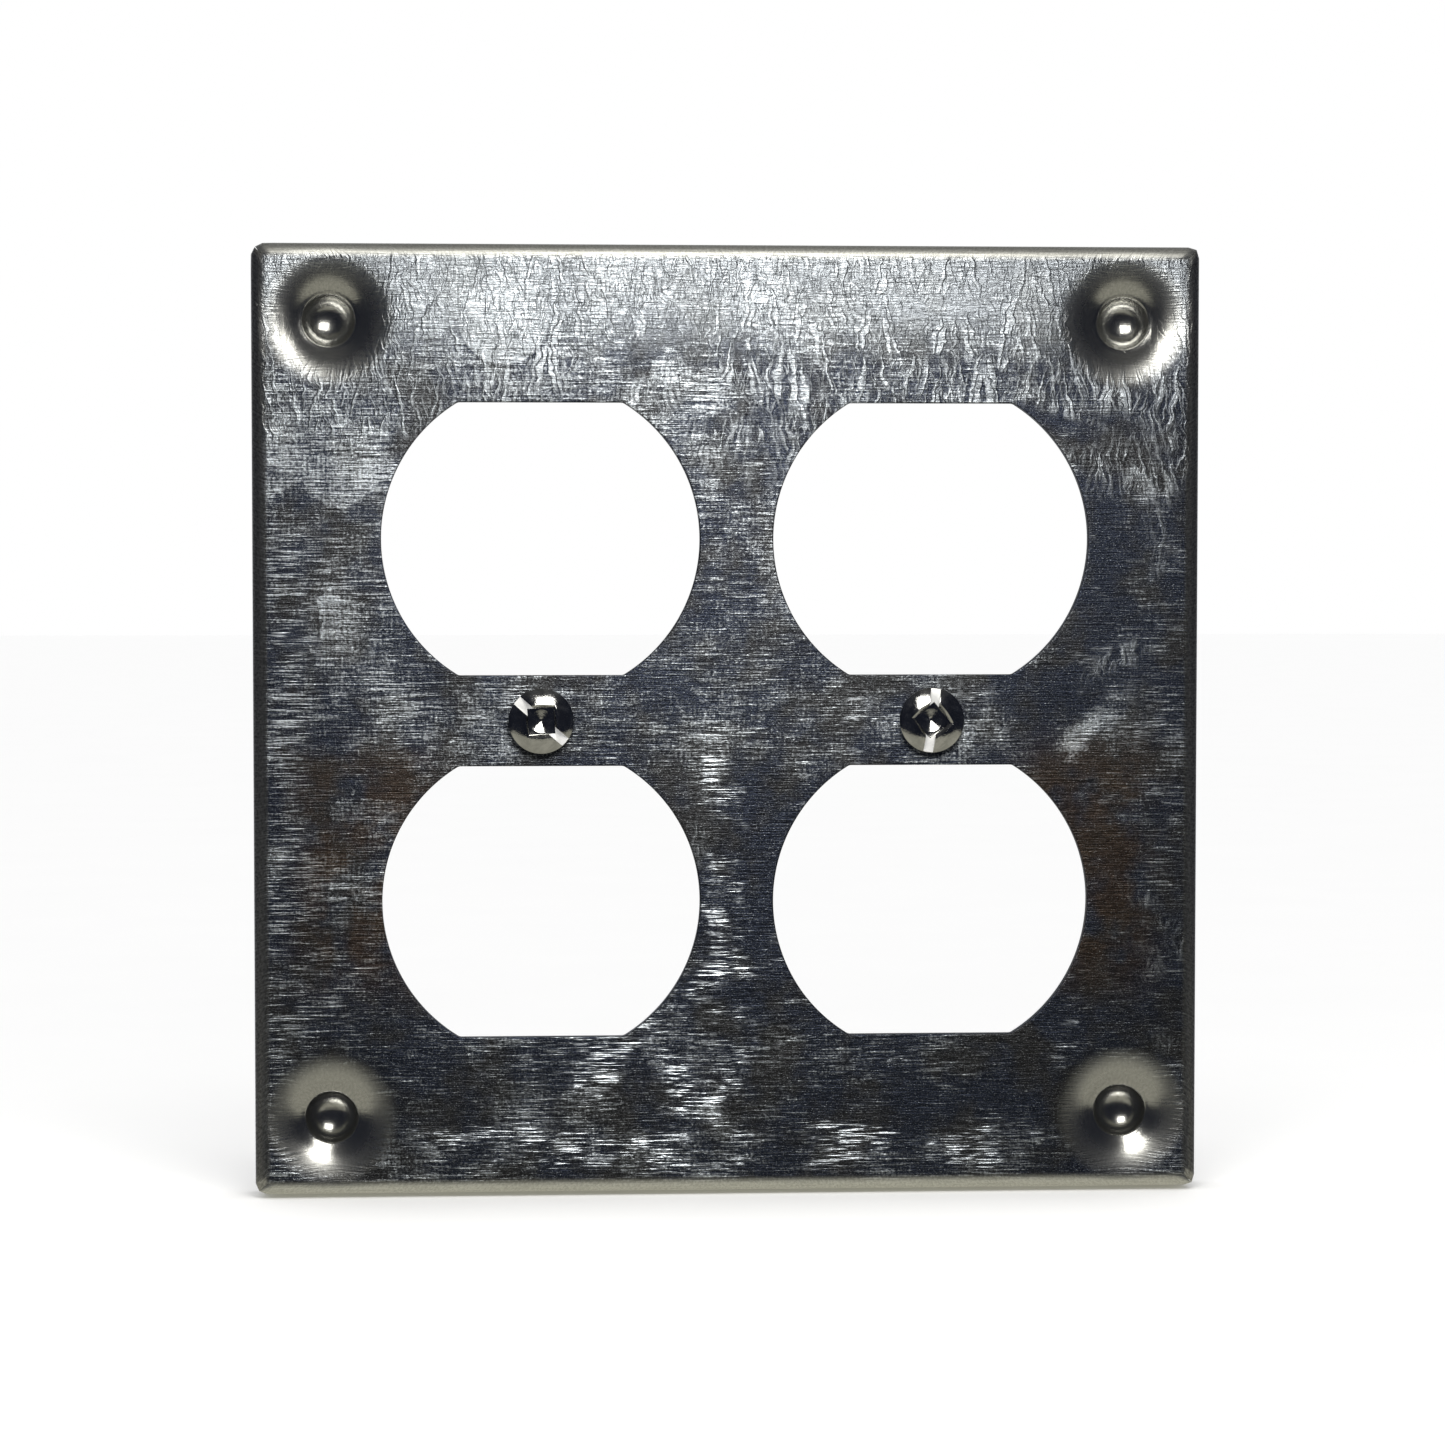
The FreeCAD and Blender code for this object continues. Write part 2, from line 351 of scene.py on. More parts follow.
def folded(points, back):
    """Places of the flat points on the front or the back of the finished sheet."""
    u, v = points[:, 0], points[:, 1]
    right = np.abs(u) > np.abs(v)
    across = np.where(right, u, v)
    along = np.where(right, v, u)
    sign = np.sign(across)
    beyond = np.abs(across) - FLAT
    outside = beyond > 1e-9
    turn = np.clip(beyond / BEND, 0, math.pi / 2)
    extra = np.clip(beyond - ARC, 0, None)
    width = np.full(len(u), FLAT)
    for n in np.flatnonzero(outside):
        end = np.sign(along[n]) or 1
        corner = (sign[n], end) if right[n] else (end, sign[n])
        width[n] = flange_width(beyond[n], corner, back)
    normal_out = np.where(outside, np.sin(turn), 0.0)
    normal_front = np.where(outside, np.cos(turn), 1.0)
    free_edge = np.clip(DEPTH - BEND - extra, 0, None)
    to_edge = np.where(outside, np.where(extra > 0, free_edge, 1.0), edge_distance(u, v))
    sink = np.full(len(u), SHEET) if back else rolled_edge(to_edge)
    place_out = np.where(outside, FLAT + BEND * np.sin(turn), np.abs(across)) - normal_out * sink
    depth = np.where(outside, BEND * (1 - np.cos(turn)) + extra, 0.0) + normal_front * sink
    place_along = along * np.where(outside, width / FLAT, 1.0)
    rim = dimple_distance(u, v)
    lip = np.where(rim > DISH_RADIUS + 1e-6, dish_depth(rim), 0)
    depth = depth + normal_front * lip
    depth = depth - normal_front * waviness(u, v) * smooth_step((FLAT + 1.0 - np.abs(across)) / 8)
    x = np.where(right, sign * place_out, place_along)
    z = np.where(right, place_along, sign * place_out)
    profile = dimple_profile(back)
    share = np.linspace(0, 1, len(profile))
    for cx, cz in DIMPLES:
        reach = np.hypot(u - cx, v - cz)
        inside = reach < DISH_RADIUS + 1e-6
        safe = np.where(reach > 1e-9, reach, 1)
        radius = np.interp(reach / DISH_RADIUS, share, profile[:, 0])
        drop = np.interp(reach / DISH_RADIUS, share, profile[:, 1]) - (SHEET if back else 0)
        x = np.where(inside, cx + (u - cx) / safe * radius, x)
        z = np.where(inside, cz + (v - cz) / safe * radius, z)
        depth = np.where(inside, depth + drop, depth)
    for (sx, sz), ease in CORNER_ROUND.items():
        px = x * sx - (HALF - ease)
        pz = z * sz - (HALF - ease)
        inside = (px > 0) & (pz > 0)
        shrink = np.maximum(px, pz) / np.where(inside, np.hypot(px, pz), 1)
        x = np.where(inside, sx * (HALF - ease + px * shrink), x)
        z = np.where(inside, sz * (HALF - ease + pz * shrink), z)
    return np.stack([x + PLATE_CENTRE.x, FACE_Y + depth, z + PLATE_CENTRE.z], axis=1)


def make_piece(name, points, faces):
    """A mesh object from points in millimetres."""
    mesh = bpy.data.meshes.new(name)
    mesh.from_pydata((np.asarray(points) * MM).tolist(), [], faces)
    mesh.validate()
    mesh.shade_smooth()
    piece = bpy.data.objects.new(name, mesh)
    bpy.context.scene.collection.objects.link(piece)
    return piece


def face_outwards(piece):
    """Turns every face so that its normal points out of the closed piece."""
    shape = bmesh.new()
    shape.from_mesh(piece.data)
    bmesh.ops.recalc_face_normals(shape, faces=shape.faces)
    shape.to_mesh(piece.data)
    shape.free()


def sheet_piece():
    """The folded cover: front and back of the sheet, joined by walls at every cut edge."""
    points, faces = flat_sheet()
    count = len(points)
    uses = {}
    for corners in faces:
        for k, first in enumerate(corners):
            edge = (first, corners[(k + 1) % len(corners)])
            uses.setdefault(tuple(sorted(edge)), []).append(edge)
    walls = [edges[0] for edges in uses.values() if len(edges) == 1]
    places = np.concatenate([folded(points, False), folded(points, True)])
    solid = list(faces)
    solid += [[k + count for k in reversed(corners)] for corners in faces]
    solid += [[b, a, a + count, b + count] for a, b in walls]
    piece = make_piece("galvanised_cover", places, solid)
    face_outwards(piece)
    pattern = piece.data.attributes.new("sheet", "FLOAT_VECTOR", "POINT")
    flat = np.concatenate([points, points])
    layer = np.concatenate([np.zeros(count), np.ones(count)])
    values = np.column_stack([flat[:, 0] * MM, layer, flat[:, 1] * MM])
    pattern.data.foreach_set("vector", values.ravel())
    return piece


# ------------------------------------------------------------------ screws and washers

# Device screws: a domed head over a waisted 6-32 shank.
HEAD_HEIGHT = 2.1
HEAD_RIM = 0.95
RIM_EASE = 0.16
NECK_RADIUS = 1.5
THREAD_RADIUS = 1.7525
THREAD_ROOT = 1.3
THREAD_PITCH = 25.4 / 32
TIP_CHAMFER = 0.4
SLOT_WIDTH = 1.05
SLOT_DEPTH = 1.1
SOCKET_WIDTH = 2.82
SOCKET_DEPTH = 1.7
SOCKET_CONE = 0.48
SOCKET_FLARE = 0.32
MOUTH_DEPTH = 0.62
MOUTH_RISE = 0.3
CUTTER_REACH = 1.0
THREAD_CLEARANCE = 0.06
THREAD_STEP = 0.075
EDGE_EASE = 0.045
SLOT_ANGLE = {"left": -41.0, "right": 83.0}
SCREW_SPOKES = 96

# Fibre washers, round the neck.
WASHER_SPOKES = 72
WASHER_EASE = 0.12
OUTLINE_RAG = 0.03
BORE_GAP = 0.05
BORE_RAG = 0.05


def dome_radius(head_radius):
    """Radius of the sphere that the head's dome is part of."""
    crown = HEAD_HEIGHT - HEAD_RIM
    return (head_radius**2 + crown**2) / (2 * crown)


def screw_outline(head_radius):
    """(radius, y) points down the screw, from its crown to the start of the thread."""
    crown_y = FACE_Y - HEAD_HEIGHT
    dome = dome_radius(head_radius)
    rim = head_radius - RIM_EASE
    half_angle = math.degrees(math.asin(rim / (dome - RIM_EASE)))
    rim_y = crown_y + dome - math.sqrt((dome - RIM_EASE) ** 2 - rim**2)
    outline = arc_points((0, crown_y + dome), dome, -90, -90 + half_angle, 30)
    outline += arc_points((rim, rim_y), RIM_EASE, -90 + half_angle, 0, 8)[1:]
    outline += [(head_radius, FACE_Y - 0.1), (head_radius - 0.1, FACE_Y), (NECK_RADIUS, FACE_Y)]
    outline[0] = (0.02, crown_y)
    return outline


def even(radius):
    """A ring of one radius all round."""
    return lambda turn: radius


def lathe(name, rings, spokes):
    """A closed piece from rings of (radius by angle, y), each ring a function of the angle."""
    turns = [2 * math.pi * k / spokes for k in range(spokes)]
    points = []
    faces = []
    for radius, y in rings:
        points += [(radius(t) * math.cos(t), y, radius(t) * math.sin(t)) for t in turns]
    for row in range(len(rings) - 1):
        for k in range(spokes):
            after = (k + 1) % spokes
            low = row * spokes
            faces.append((low + k, low + after, low + spokes + after, low + spokes + k))
    faces.append(tuple(range(spokes)))
    faces.append(tuple(reversed(range(len(points) - spokes, len(points)))))
    piece = make_piece(name, points, faces)
    face_outwards(piece)
    return piece


def thread_radius(y, start, end):
    """The radius of a helical thread at one depth, as a function of the angle."""
    def radius(turn):
        phase = (y / THREAD_PITCH + turn / (2 * math.pi)) % 1
        ridge = min(1.0, max(0.0, 1.35 * (1 - abs(2 * phase - 1)) - 0.1))
        rise = smooth_step((y - start) / THREAD_PITCH)
        full = THREAD_ROOT + (THREAD_RADIUS - THREAD_ROOT) * ridge
        cut = THREAD_RADIUS - max(0.0, y - (end - TIP_CHAMFER))
        return min(float(NECK_RADIUS + (full - NECK_RADIUS) * rise), cut)
    return radius


def box_cutter(width, length, near_y, far_y, flare=0.0, turn=0.0):
    """A rectangular plug along Y, wider at its near end by a flare."""
    points = []
    for y, grow in ((near_y, flare), (far_y, 0.0)):
        for sx, sz in ((-1, -1), (1, -1), (1, 1), (-1, 1)):
            points.append((sx * (length / 2 + grow), y, sz * (width / 2 + grow)))
    c, s = math.cos(turn), math.sin(turn)
    points = [(x * c - z * s, y, x * s + z * c) for x, y, z in points]
    faces = [(0, 1, 2, 3), (7, 6, 5, 4)] + [(k, k + 4, (k + 1) % 4 + 4, (k + 1) % 4) for k in range(4)]
    cutter = make_piece("cutter", points, faces)
    face_outwards(cutter)
    return cutter


def apply_modifiers(piece):
    """Replaces a piece's mesh with what its modifiers make of it."""
    graph = bpy.context.evaluated_depsgraph_get()
    mesh = bpy.data.meshes.new_from_object(piece.evaluated_get(graph))
    piece.modifiers.clear()
    piece.data = mesh


def cut_with(piece, cutter):
    """Subtracts a cutter from a piece and removes the cutter."""
    cut = piece.modifiers.new("cut", "BOOLEAN")
    cut.operation = "DIFFERENCE"
    cut.solver = "EXACT"
    cut.object = cutter
    bpy.context.view_layer.update()
    apply_modifiers(piece)
    bpy.data.objects.remove(cutter)


def ease_edges(piece, width, angle):
    """Small bevels on a piece's sharp edges, so that they catch the light."""
    bevel = piece.modifiers.new("ease", "BEVEL")
    bevel.width = width * MM
    bevel.segments = 2
    bevel.limit_method = "ANGLE"
    bevel.angle_limit = math.radians(angle)
    apply_modifiers(piece)
    piece.data.shade_smooth()
    piece.data.set_sharp_from_angle(angle=math.radians(50))


def cut_recess(piece, side, head_radius):
    """Cuts the slot, the square socket with its flared mouth, and the socket's conical floor."""
    crown_y = FACE_Y - HEAD_HEIGHT
    ahead = crown_y - CUTTER_REACH
    turn = math.radians(SLOT_ANGLE[side])
    square = turn + math.pi / 4
    mouth = crown_y + MOUTH_DEPTH
    floor_y = crown_y + SOCKET_DEPTH
    flare = SOCKET_FLARE * (mouth - ahead) / MOUTH_RISE
    cut_with(piece, box_cutter(SLOT_WIDTH, 3 * head_radius, ahead, crown_y + SLOT_DEPTH, turn=turn))
    cut_with(piece, box_cutter(SOCKET_WIDTH, SOCKET_WIDTH, ahead, floor_y, turn=square))
    cut_with(piece, box_cutter(SOCKET_WIDTH, SOCKET_WIDTH, ahead, mouth, flare, square))
    shares = np.linspace(0.02, 1, 8)[::-1]
    cone = [(even(SOCKET_WIDTH * 0.49 * s), floor_y - 0.02 + SOCKET_CONE * (1 - s)) for s in shares]
    cut_with(piece, lathe("cutter", cone, 48))


def screw_piece(side):
    """One device screw, with its recess cut and its thread."""
    low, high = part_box(f"device_screw_{side}")
    head_radius = (high.x - low.x) / 2 / MM
    tip_y = high.y / MM
    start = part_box(f"retaining_washer_{side}")[1].y / MM + THREAD_CLEARANCE
    rings = [(even(radius), y) for radius, y in screw_outline(head_radius)]
    rings += [(even(NECK_RADIUS), y) for y in np.linspace(FACE_Y, start, 6)[1:]]
    steps = round((tip_y - start) / THREAD_STEP)
    rings += [(thread_radius(y, start, tip_y), y) for y in np.linspace(start, tip_y, steps + 1)[1:]]
    piece = lathe(f"screw_{side}", rings, SCREW_SPOKES)
    cut_recess(piece, side, head_radius)
    ease_edges(piece, EDGE_EASE, 38)
    mark_slot_floor(piece)
    piece.location = Vector((SCREW_X[side] * MM, 0, 0))
    return piece


def mark_slot_floor(piece):
    """Marks the faces on the floor of the slot, which the material makes matt and paints pale as a
    painted highlight.
    """
    floor_y = FACE_Y - HEAD_HEIGHT + SLOT_DEPTH
    mark = piece.data.attributes.new("slot_floor", "FLOAT", "FACE")
    for face in piece.data.polygons:
        level = abs(face.center.y / MM - floor_y) < 0.05
        mark.data[face.index].value = 1.0 if level and face.normal.y < -0.995 else 0.0


def washer_piece(side):
    """One fibre washer, its stamped edges eased and its outline and bore a little ragged."""
    low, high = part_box(f"retaining_washer_{side}")
    radius = (high.x - low.x) / 2 / MM
    front, back = low.y / MM, high.y / MM
    ease = WASHER_EASE
    seed = 1.7 if side == "left" else 4.1

    def outer(inset):
        return lambda t: radius - inset - OUTLINE_RAG * (1 + math.sin(3 * t + seed)) / 2

    def bore(grow):
        return lambda t: NECK_RADIUS + BORE_GAP + grow + BORE_RAG * (1 + math.sin(7 * t + seed)) / 2

    loops = [(bore(0.0), front + ease), (bore(ease), front),
             (outer(ease), front), (outer(0.0), front + ease),
             (outer(0.0), back - ease), (outer(ease), back),
             (bore(ease), back), (bore(0.0), back - ease)]
    turns = [2 * math.pi * k / WASHER_SPOKES for k in range(WASHER_SPOKES)]
    points = [(loop(t) * math.cos(t), y, loop(t) * math.sin(t)) for loop, y in loops for t in turns]
    faces = []
    for row in range(len(loops)):
        near, far = row * WASHER_SPOKES, (row + 1) % len(loops) * WASHER_SPOKES
        for k in range(WASHER_SPOKES):
            after = (k + 1) % WASHER_SPOKES
            faces.append((near + k, near + after, far + after, far + k))
    piece = make_piece(f"washer_{side}", points, faces)
    face_outwards(piece)
    piece.data.set_sharp_from_angle(angle=math.radians(40))
    piece.location = Vector((SCREW_X[side] * MM, 0, 0))
    return piece


# ------------------------------------------------------------------ materials

class Nodes:
    """Adds nodes to a tree, which it empties first."""

    def __init__(self, tree):
        self.tree = tree
        tree.nodes.clear()

    def node(self, kind, inputs=None, **settings):
        """A new node, with its settings, and its inputs set or linked."""
        node = self.tree.nodes.new(kind)
        for key, value in settings.items():
            setattr(node, key, value)
        for key, value in (inputs or {}).items():
            self.plug(node.inputs[key], value)
        return node

    def add(self, kind, inputs=None, output=0, **settings):
        """One output of a new node."""
        return self.node(kind, inputs, **settings).outputs[output]

    def plug(self, socket, value):
        if isinstance(value, bpy.types.NodeSocket):
            self.tree.links.new(value, socket)
        else:
            socket.default_value = value

    def vector(self, operation, a, b=(0.0, 0.0, 0.0)):
        return self.add("ShaderNodeVectorMath", {0: a, 1: b}, operation=operation)

    def stretch(self, point, x, y, z):
        return self.vector("MULTIPLY", point, (x, y, z))

    def split(self, point):
        return self.node("ShaderNodeSeparateXYZ", {0: point}).outputs

    def maths(self, operation, a, b=0.0, clamp=False):
        return self.add("ShaderNodeMath", {0: a, 1: b}, operation=operation, use_clamp=clamp)

    def fold(self, operation, first, others):
        for value in others:
            first = self.maths(operation, first, value)
        return first

    def plus(self, first, *others):
        return self.fold("ADD", first, others)

    def times(self, first, *others):
        return self.fold("MULTIPLY", first, others)

    def most(self, first, *others):
        return self.fold("MAXIMUM", first, others)

    def size(self, value):
        return self.maths("ABSOLUTE", value)

    def remap(self, value, low, high, to_low=0.0, to_high=1.0):
        inputs = {"Value": value, "From Min": low, "From Max": high, "To Min": to_low, "To Max": to_high}
        return self.add("ShaderNodeMapRange", inputs, interpolation_type="SMOOTHSTEP")

    def blend(self, share, a, b):
        return self.add("ShaderNodeMix", {0: share, 6: a, 7: b}, output=2, data_type="RGBA")

    def mix(self, share, a, b):
        return self.add("ShaderNodeMix", {0: share, 2: a, 3: b}, output=0, data_type="FLOAT")

    def noise(self, point, scale, detail=3.0, rough=0.5, warp=0.0):
        inputs = {"Vector": point, "Scale": scale, "Detail": detail}
        inputs.update({"Roughness": rough, "Distortion": warp})
        return self.add("ShaderNodeTexNoise", inputs, output="Fac")

    def wavered(self, point, scale, detail, push):
        """The point, pushed about by noise."""
        inputs = {"Vector": point, "Scale": scale, "Detail": detail}
        waver = self.add("ShaderNodeTexNoise", inputs, output="Color")
        return self.vector("ADD", point, self.vector("MULTIPLY", waver, push))

    def cells(self, point, scale):
        return self.node("ShaderNodeTexVoronoi", {"Vector": point, "Scale": scale}).outputs

    def near(self, value, middle, inner, outer):
        """One within an inner distance of a middle, falling to none at an outer distance."""
        return self.remap(self.size(self.maths("SUBTRACT", value, middle)), inner, outer, 1.0, 0.0)


class Surface(Nodes):
    """A material with a Principled shader."""

    def __init__(self, name):
        self.material = bpy.data.materials.new(name)
        self.material.use_nodes = True
        super().__init__(self.material.node_tree)
        self.shader = self.node("ShaderNodeBsdfPrincipled")
        self.node("ShaderNodeOutputMaterial", {"Surface": self.shader.outputs[0]})

    def put(self, name, value):
        """Sets or links one of the shader's inputs."""
        self.plug(self.shader.inputs[name], value)

    def object_point(self):
        """Place on the piece, in millimetres."""
        place = self.add("ShaderNodeTexCoord", output="Object")
        return self.stretch(place, 1000, 1000, 1000)


class Galvanised(Surface):
    """Hot-dip zinc: crystal patches, feathered veins, rolling lines and scratches, with painted glints,
    painted highlights and painted shade in its colour.
    """

    def __init__(self):
        super().__init__("galvanised_sheet")
        place = self.add("ShaderNodeAttribute", output="Vector", attribute_name="sheet")
        # Unfolded place on the sheet, in millimetres.
        self.place = self.stretch(place, 1000, 1000, 1000)
        self.u, _, self.v = self.split(self.place)
        self.lines = self.noise(self.stretch(self.place, 0.2, 1, 5.2), 1.0, 3, 0.65)
        self.grain = self.noise(self.place, 3.4, 2, 0.7)
        self.feathers = self.crystal_feathers()
        self.dashes = self.painted_glint_dashes()
        self.side_bend = self.remap(self.size(self.u), FLAT - 0.4, FLAT + 0.5)
        self.end_bend = self.remap(self.size(self.v), FLAT - 0.4, FLAT + 0.5)
        self.bend_area = self.most(self.side_bend, self.end_bend)
        self.pressed = self.near_any(DIMPLES, 4.9, 7.5)
        tone = self.tone()
        self.put("Base Color", self.colour(tone))
        self.put("Metallic", 1.0)
        self.put("Roughness", self.roughness(tone))
        self.put("Normal", self.normal())

    def near_any(self, centres, inner, outer):
        """One within an inner distance of any of these places on the sheet."""
        flat = self.add("ShaderNodeCombineXYZ", {0: self.u, 1: self.v})
        found = 0.0
        for x, z in centres:
            inputs = {0: flat, 1: (x, z, 0)}
            gap = self.add("ShaderNodeVectorMath", inputs, output="Value", operation="DISTANCE")
            found = self.maths("MAXIMUM", found, self.remap(gap, inner, outer, 1.0, 0.0))
        return found

    def crystal_patches(self):
        """Crystals, each of one tone, with ragged edges."""
        ragged = self.wavered(self.place, 0.35, 3.0, (6.0, 6.0, 6.0))
        pick = self.add("ShaderNodeSeparateColor", {0: self.cells(ragged, 0.11)["Color"]})
        clouds = self.noise(self.place, 0.2, 5, 0.66, 0.6)
        return self.plus(self.times(pick, 0.35), self.times(clouds, 1.1))

    def veins(self, across, along, lean):
        """Wavering ridges across each crystal, mirrored about its middle line."""
        moved = self.wavered(self.place, 0.5, 2.0, (1.6, 0.0, 1.6))
        cell = self.cells(moved, 0.13)
        x, _, z = self.split(self.vector("SUBTRACT", moved, cell["Position"]))
        slant = self.plus(self.size(x), self.times(z, lean))
        ridge = self.add("ShaderNodeCombineXYZ", {0: self.times(slant, across), 1: self.times(z, along)})
        return self.noise(self.vector("ADD", ridge, cell["Color"]), 1.0, 2, 0.5)

    def crystal_feathers(self):
        """Near-vertical veins that fork downwards, mostly near the top."""
        where = self.noise(self.place, 0.075, 3, 0.5, 0.6)
        where = self.plus(where, self.remap(self.v, 10, 46, -0.12, 0.22))
        feathered = self.remap(where, 0.5, 0.68)
        broad = self.remap(self.veins(1.9, 0.17, 0.2), 0.44, 0.66)
        fine = self.remap(self.veins(3.6, 0.26, -0.24), 0.5, 0.68)
        return self.most(self.times(broad, feathered), self.times(fine, feathered, 0.7))

    def painted_glint_dashes(self):
        """Painted glints: bright scratches painted pale, gathered down the middle where the key light's
        highlight falls, and along the bottom.
        """
        column = self.times(self.near(self.u, -0.5, 1.2, 3.6), self.near(self.v, -22.0, 14, 22))
        foot = self.times(self.near(self.u, -7.5, 7, 13), self.near(self.v, -33.0, 6, 12))
        hem = self.times(self.near(self.u, 0.0, 30, 42), self.near(self.v, -46.0, 1.5, 3.2))
        spread = self.noise(self.stretch(self.place, 0.12, 1, 0.2), 1.0, 4, 0.65, 0.4)
        spread = self.plus(spread, self.times(self.most(column, foot, hem), 0.17))
        dashes = self.noise(self.stretch(self.place, 0.26, 1, 7.2), 1.0, 1, 0.4)
        return self.times(self.remap(dashes, 0.53, 0.62), self.remap(spread, 0.58, 0.74))

    def dents(self):
        """One in the two shallow dents beside the screws, less in the right one."""
        left = self.near_any([LEFT_DENT], 1.0, 5.5)
        right = self.near_any([RIGHT_DENT], 0.5, 4.5)
        return self.most(left, self.times(right, 0.4))

    def slanting_glint(self):
        """A short glint that slants past the right dent."""
        along = self.times(self.plus(self.u, self.v), 0.7071)
        athwart = self.times(self.maths("SUBTRACT", self.v, self.u), 0.7071)
        return self.times(self.near(athwart, -28.0, 0.3, 2.2), self.near(along, 26.0, 1.5, 5.0))

    def zones(self):
        """How much paler or darker than the rest each part of the face is: painted highlights on the
        dents and along the slanting glint, painted shade darkening it towards the bottom, and other
        paler and darker patches.
        """
        u, v = self.u, self.v
        left_edge = self.times(self.remap(u, -30, -41), self.near(v, 22.0, 8, 18))
        low_middle = self.times(self.near(u, -0.5, 4, 9), self.near(v, -18.0, 8, 18))
        low_right = self.times(self.near(u, 22.0, 12, 22), self.near(v, -40.0, 6, 14))
        # Dense short lines beside both side bends.
        beside_bends = self.times(self.near(self.size(u), 47.5, 1.8, 4.0), self.remap(v, 26, 8))
        return self.plus(
            self.times(left_edge, 0.07),
            # Painted highlights: paler on the dents and along the slanting glint.
            self.times(self.dents(), 0.08),
            self.times(self.slanting_glint(), 0.3),
            self.times(self.near(v, -47.5, 1.5, 5), 0.06),
            self.times(beside_bends, self.remap(self.lines, 0.46, 0.62, -0.03, 0.15)),
            self.times(self.near(v, 18.0, 10, 21), -0.07),
            # Painted shade: darker towards the bottom, away from the key light.
            self.remap(v, 5, -30, 0.0, -0.11),
            self.remap(u, 22, 44, 0.0, -0.08),
            self.times(self.near(v, -9.0, 3, 9), -0.05),
            self.times(low_middle, -0.09),
            self.times(low_right, -0.06),
        )

    def tone(self):
        """How pale the zinc is, from none to one."""
        place, lines, grain = self.place, self.lines, self.grain
        cross = self.noise(self.stretch(place, 3.6, 1, 0.3), 1.0, 2, 0.6)
        ruled = self.noise(self.stretch(place, 0.5, 1, 1), 0.16, 3, 0.6)
        ruled = self.remap(ruled, 0.38, 0.62, 0.45, 1.0)
        contrast = self.remap(self.v, 0, -32, 1.25, 1.9)
        drawn = self.times(self.maths("SUBTRACT", lines, 0.5), ruled, contrast)
        tone = self.plus(self.times(self.crystal_patches(), 0.44), drawn)
        tone = self.plus(tone, self.times(cross, 0.26), self.times(grain, 0.62), self.zones())
        tone = self.remap(tone, 0.69, 1.02)
        specks = self.noise(self.stretch(place, 0.8, 1, 1.2), 6.5, 2, 0.8)
        tone = self.most(tone, self.remap(specks, 0.56, 0.68, 0.0, 0.42))
        # Painted highlight: the face is paler towards its top edge, where the key light's reflection
        # falls.
        tone = self.mix(self.remap(self.v, 37, 46, 0.0, 0.55), tone, 0.95)
        shown = self.remap(self.plus(lines, grain), 0.72, 1.2, 0.3, 1.0)
        # Painted glints: the dashes lift the tone to pale where the scratches catch the light.
        tone = self.most(tone, self.times(self.feathers, shown), self.dashes)
        return self.scored_line(self.tool_print(tone))

    def tool_print(self, tone):
        """A round print near the top, paler inside and dark below its rim."""
        inner = TOOL_MARK_RADIUS
        stamp = self.near_any([TOOL_MARK], inner, inner + 0.3)
        rim = self.maths("SUBTRACT", self.near_any([TOOL_MARK], inner + 0.35, inner + 0.6), stamp)
        tone = self.mix(self.times(stamp, 0.55), tone, self.remap(self.lines, 0.3, 0.6, 0.75, 1.0))
        shadow = self.times(rim, self.remap(self.v, 43, 39), 0.22)
        return self.maths("SUBTRACT", tone, shadow, clamp=True)

    def scored_line(self, tone):
        """A fine line drawn down the sheet through both left dimples."""
        broken = self.remap(self.noise(self.stretch(self.place, 0.0, 1, 0.4), 1.0, 2), 0.4, 0.5)
        scored = self.times(self.near(self.u, -42.95, 0.03, 0.13), broken)
        return self.times(tone, self.remap(scored, 0, 1, 1.0, 0.5))

    def colour(self, tone):
        """Zinc with brown stains low at both sides, bends painted pale at the top and bottom as a
        painted highlight and darker at the sides as painted shade, and bare dimples.
        """
        blue = self.remap(self.noise(self.place, 0.13, 3, 0.6), 0.42, 0.62)
        dark = self.blend(blue, (0.042, 0.050, 0.076, 1), (0.058, 0.058, 0.062, 1))
        zinc = self.blend(tone, dark, (0.82, 0.88, 0.95, 1))
        blotches = self.remap(self.noise(self.place, 0.16, 3, 0.6), 0.35, 0.6)
        sides = self.near(self.size(self.u), 38.5, 4.0, 10.5)
        stain = self.times(sides, self.near(self.v, -16.0, 8, 17))
        brown = self.blend(tone, (0.085, 0.058, 0.040, 1), (0.50, 0.46, 0.43, 1))
        zinc = self.blend(self.times(stain, blotches, 0.78), zinc, brown)
        # Painted highlight and shade on the bends: the top and bottom bends are painted pale where they
        # catch the light, the side bends darker where they face the dim sides.
        bend_grain = self.remap(self.plus(self.times(self.lines, 0.6), self.grain), 0.6, 1.0)
        side = self.blend(bend_grain, (0.28, 0.28, 0.27, 1), (0.62, 0.62, 0.60, 1))
        end = self.blend(bend_grain, (0.74, 0.74, 0.69, 1), (0.98, 0.98, 0.93, 1))
        zinc = self.blend(self.bend_area, zinc, self.blend(self.end_bend, side, end))
        bare = self.remap(self.grain, 0.3, 0.7)
        bare = self.blend(bare, (0.50, 0.50, 0.48, 1), (0.62, 0.62, 0.60, 1))
        return self.blend(self.pressed, zinc, bare)

    def roughness(self, tone):
        """Duller on dark zinc and on the end bends, polished in the dimples."""
        dull = self.remap(tone, 0.0, 1.0, 0.38, 0.28)
        dull = self.mix(self.bend_area, dull, self.mix(self.end_bend, 0.34, 0.52))
        return self.mix(self.near_any(DIMPLES, 3.8, 6.4), dull, 0.21)

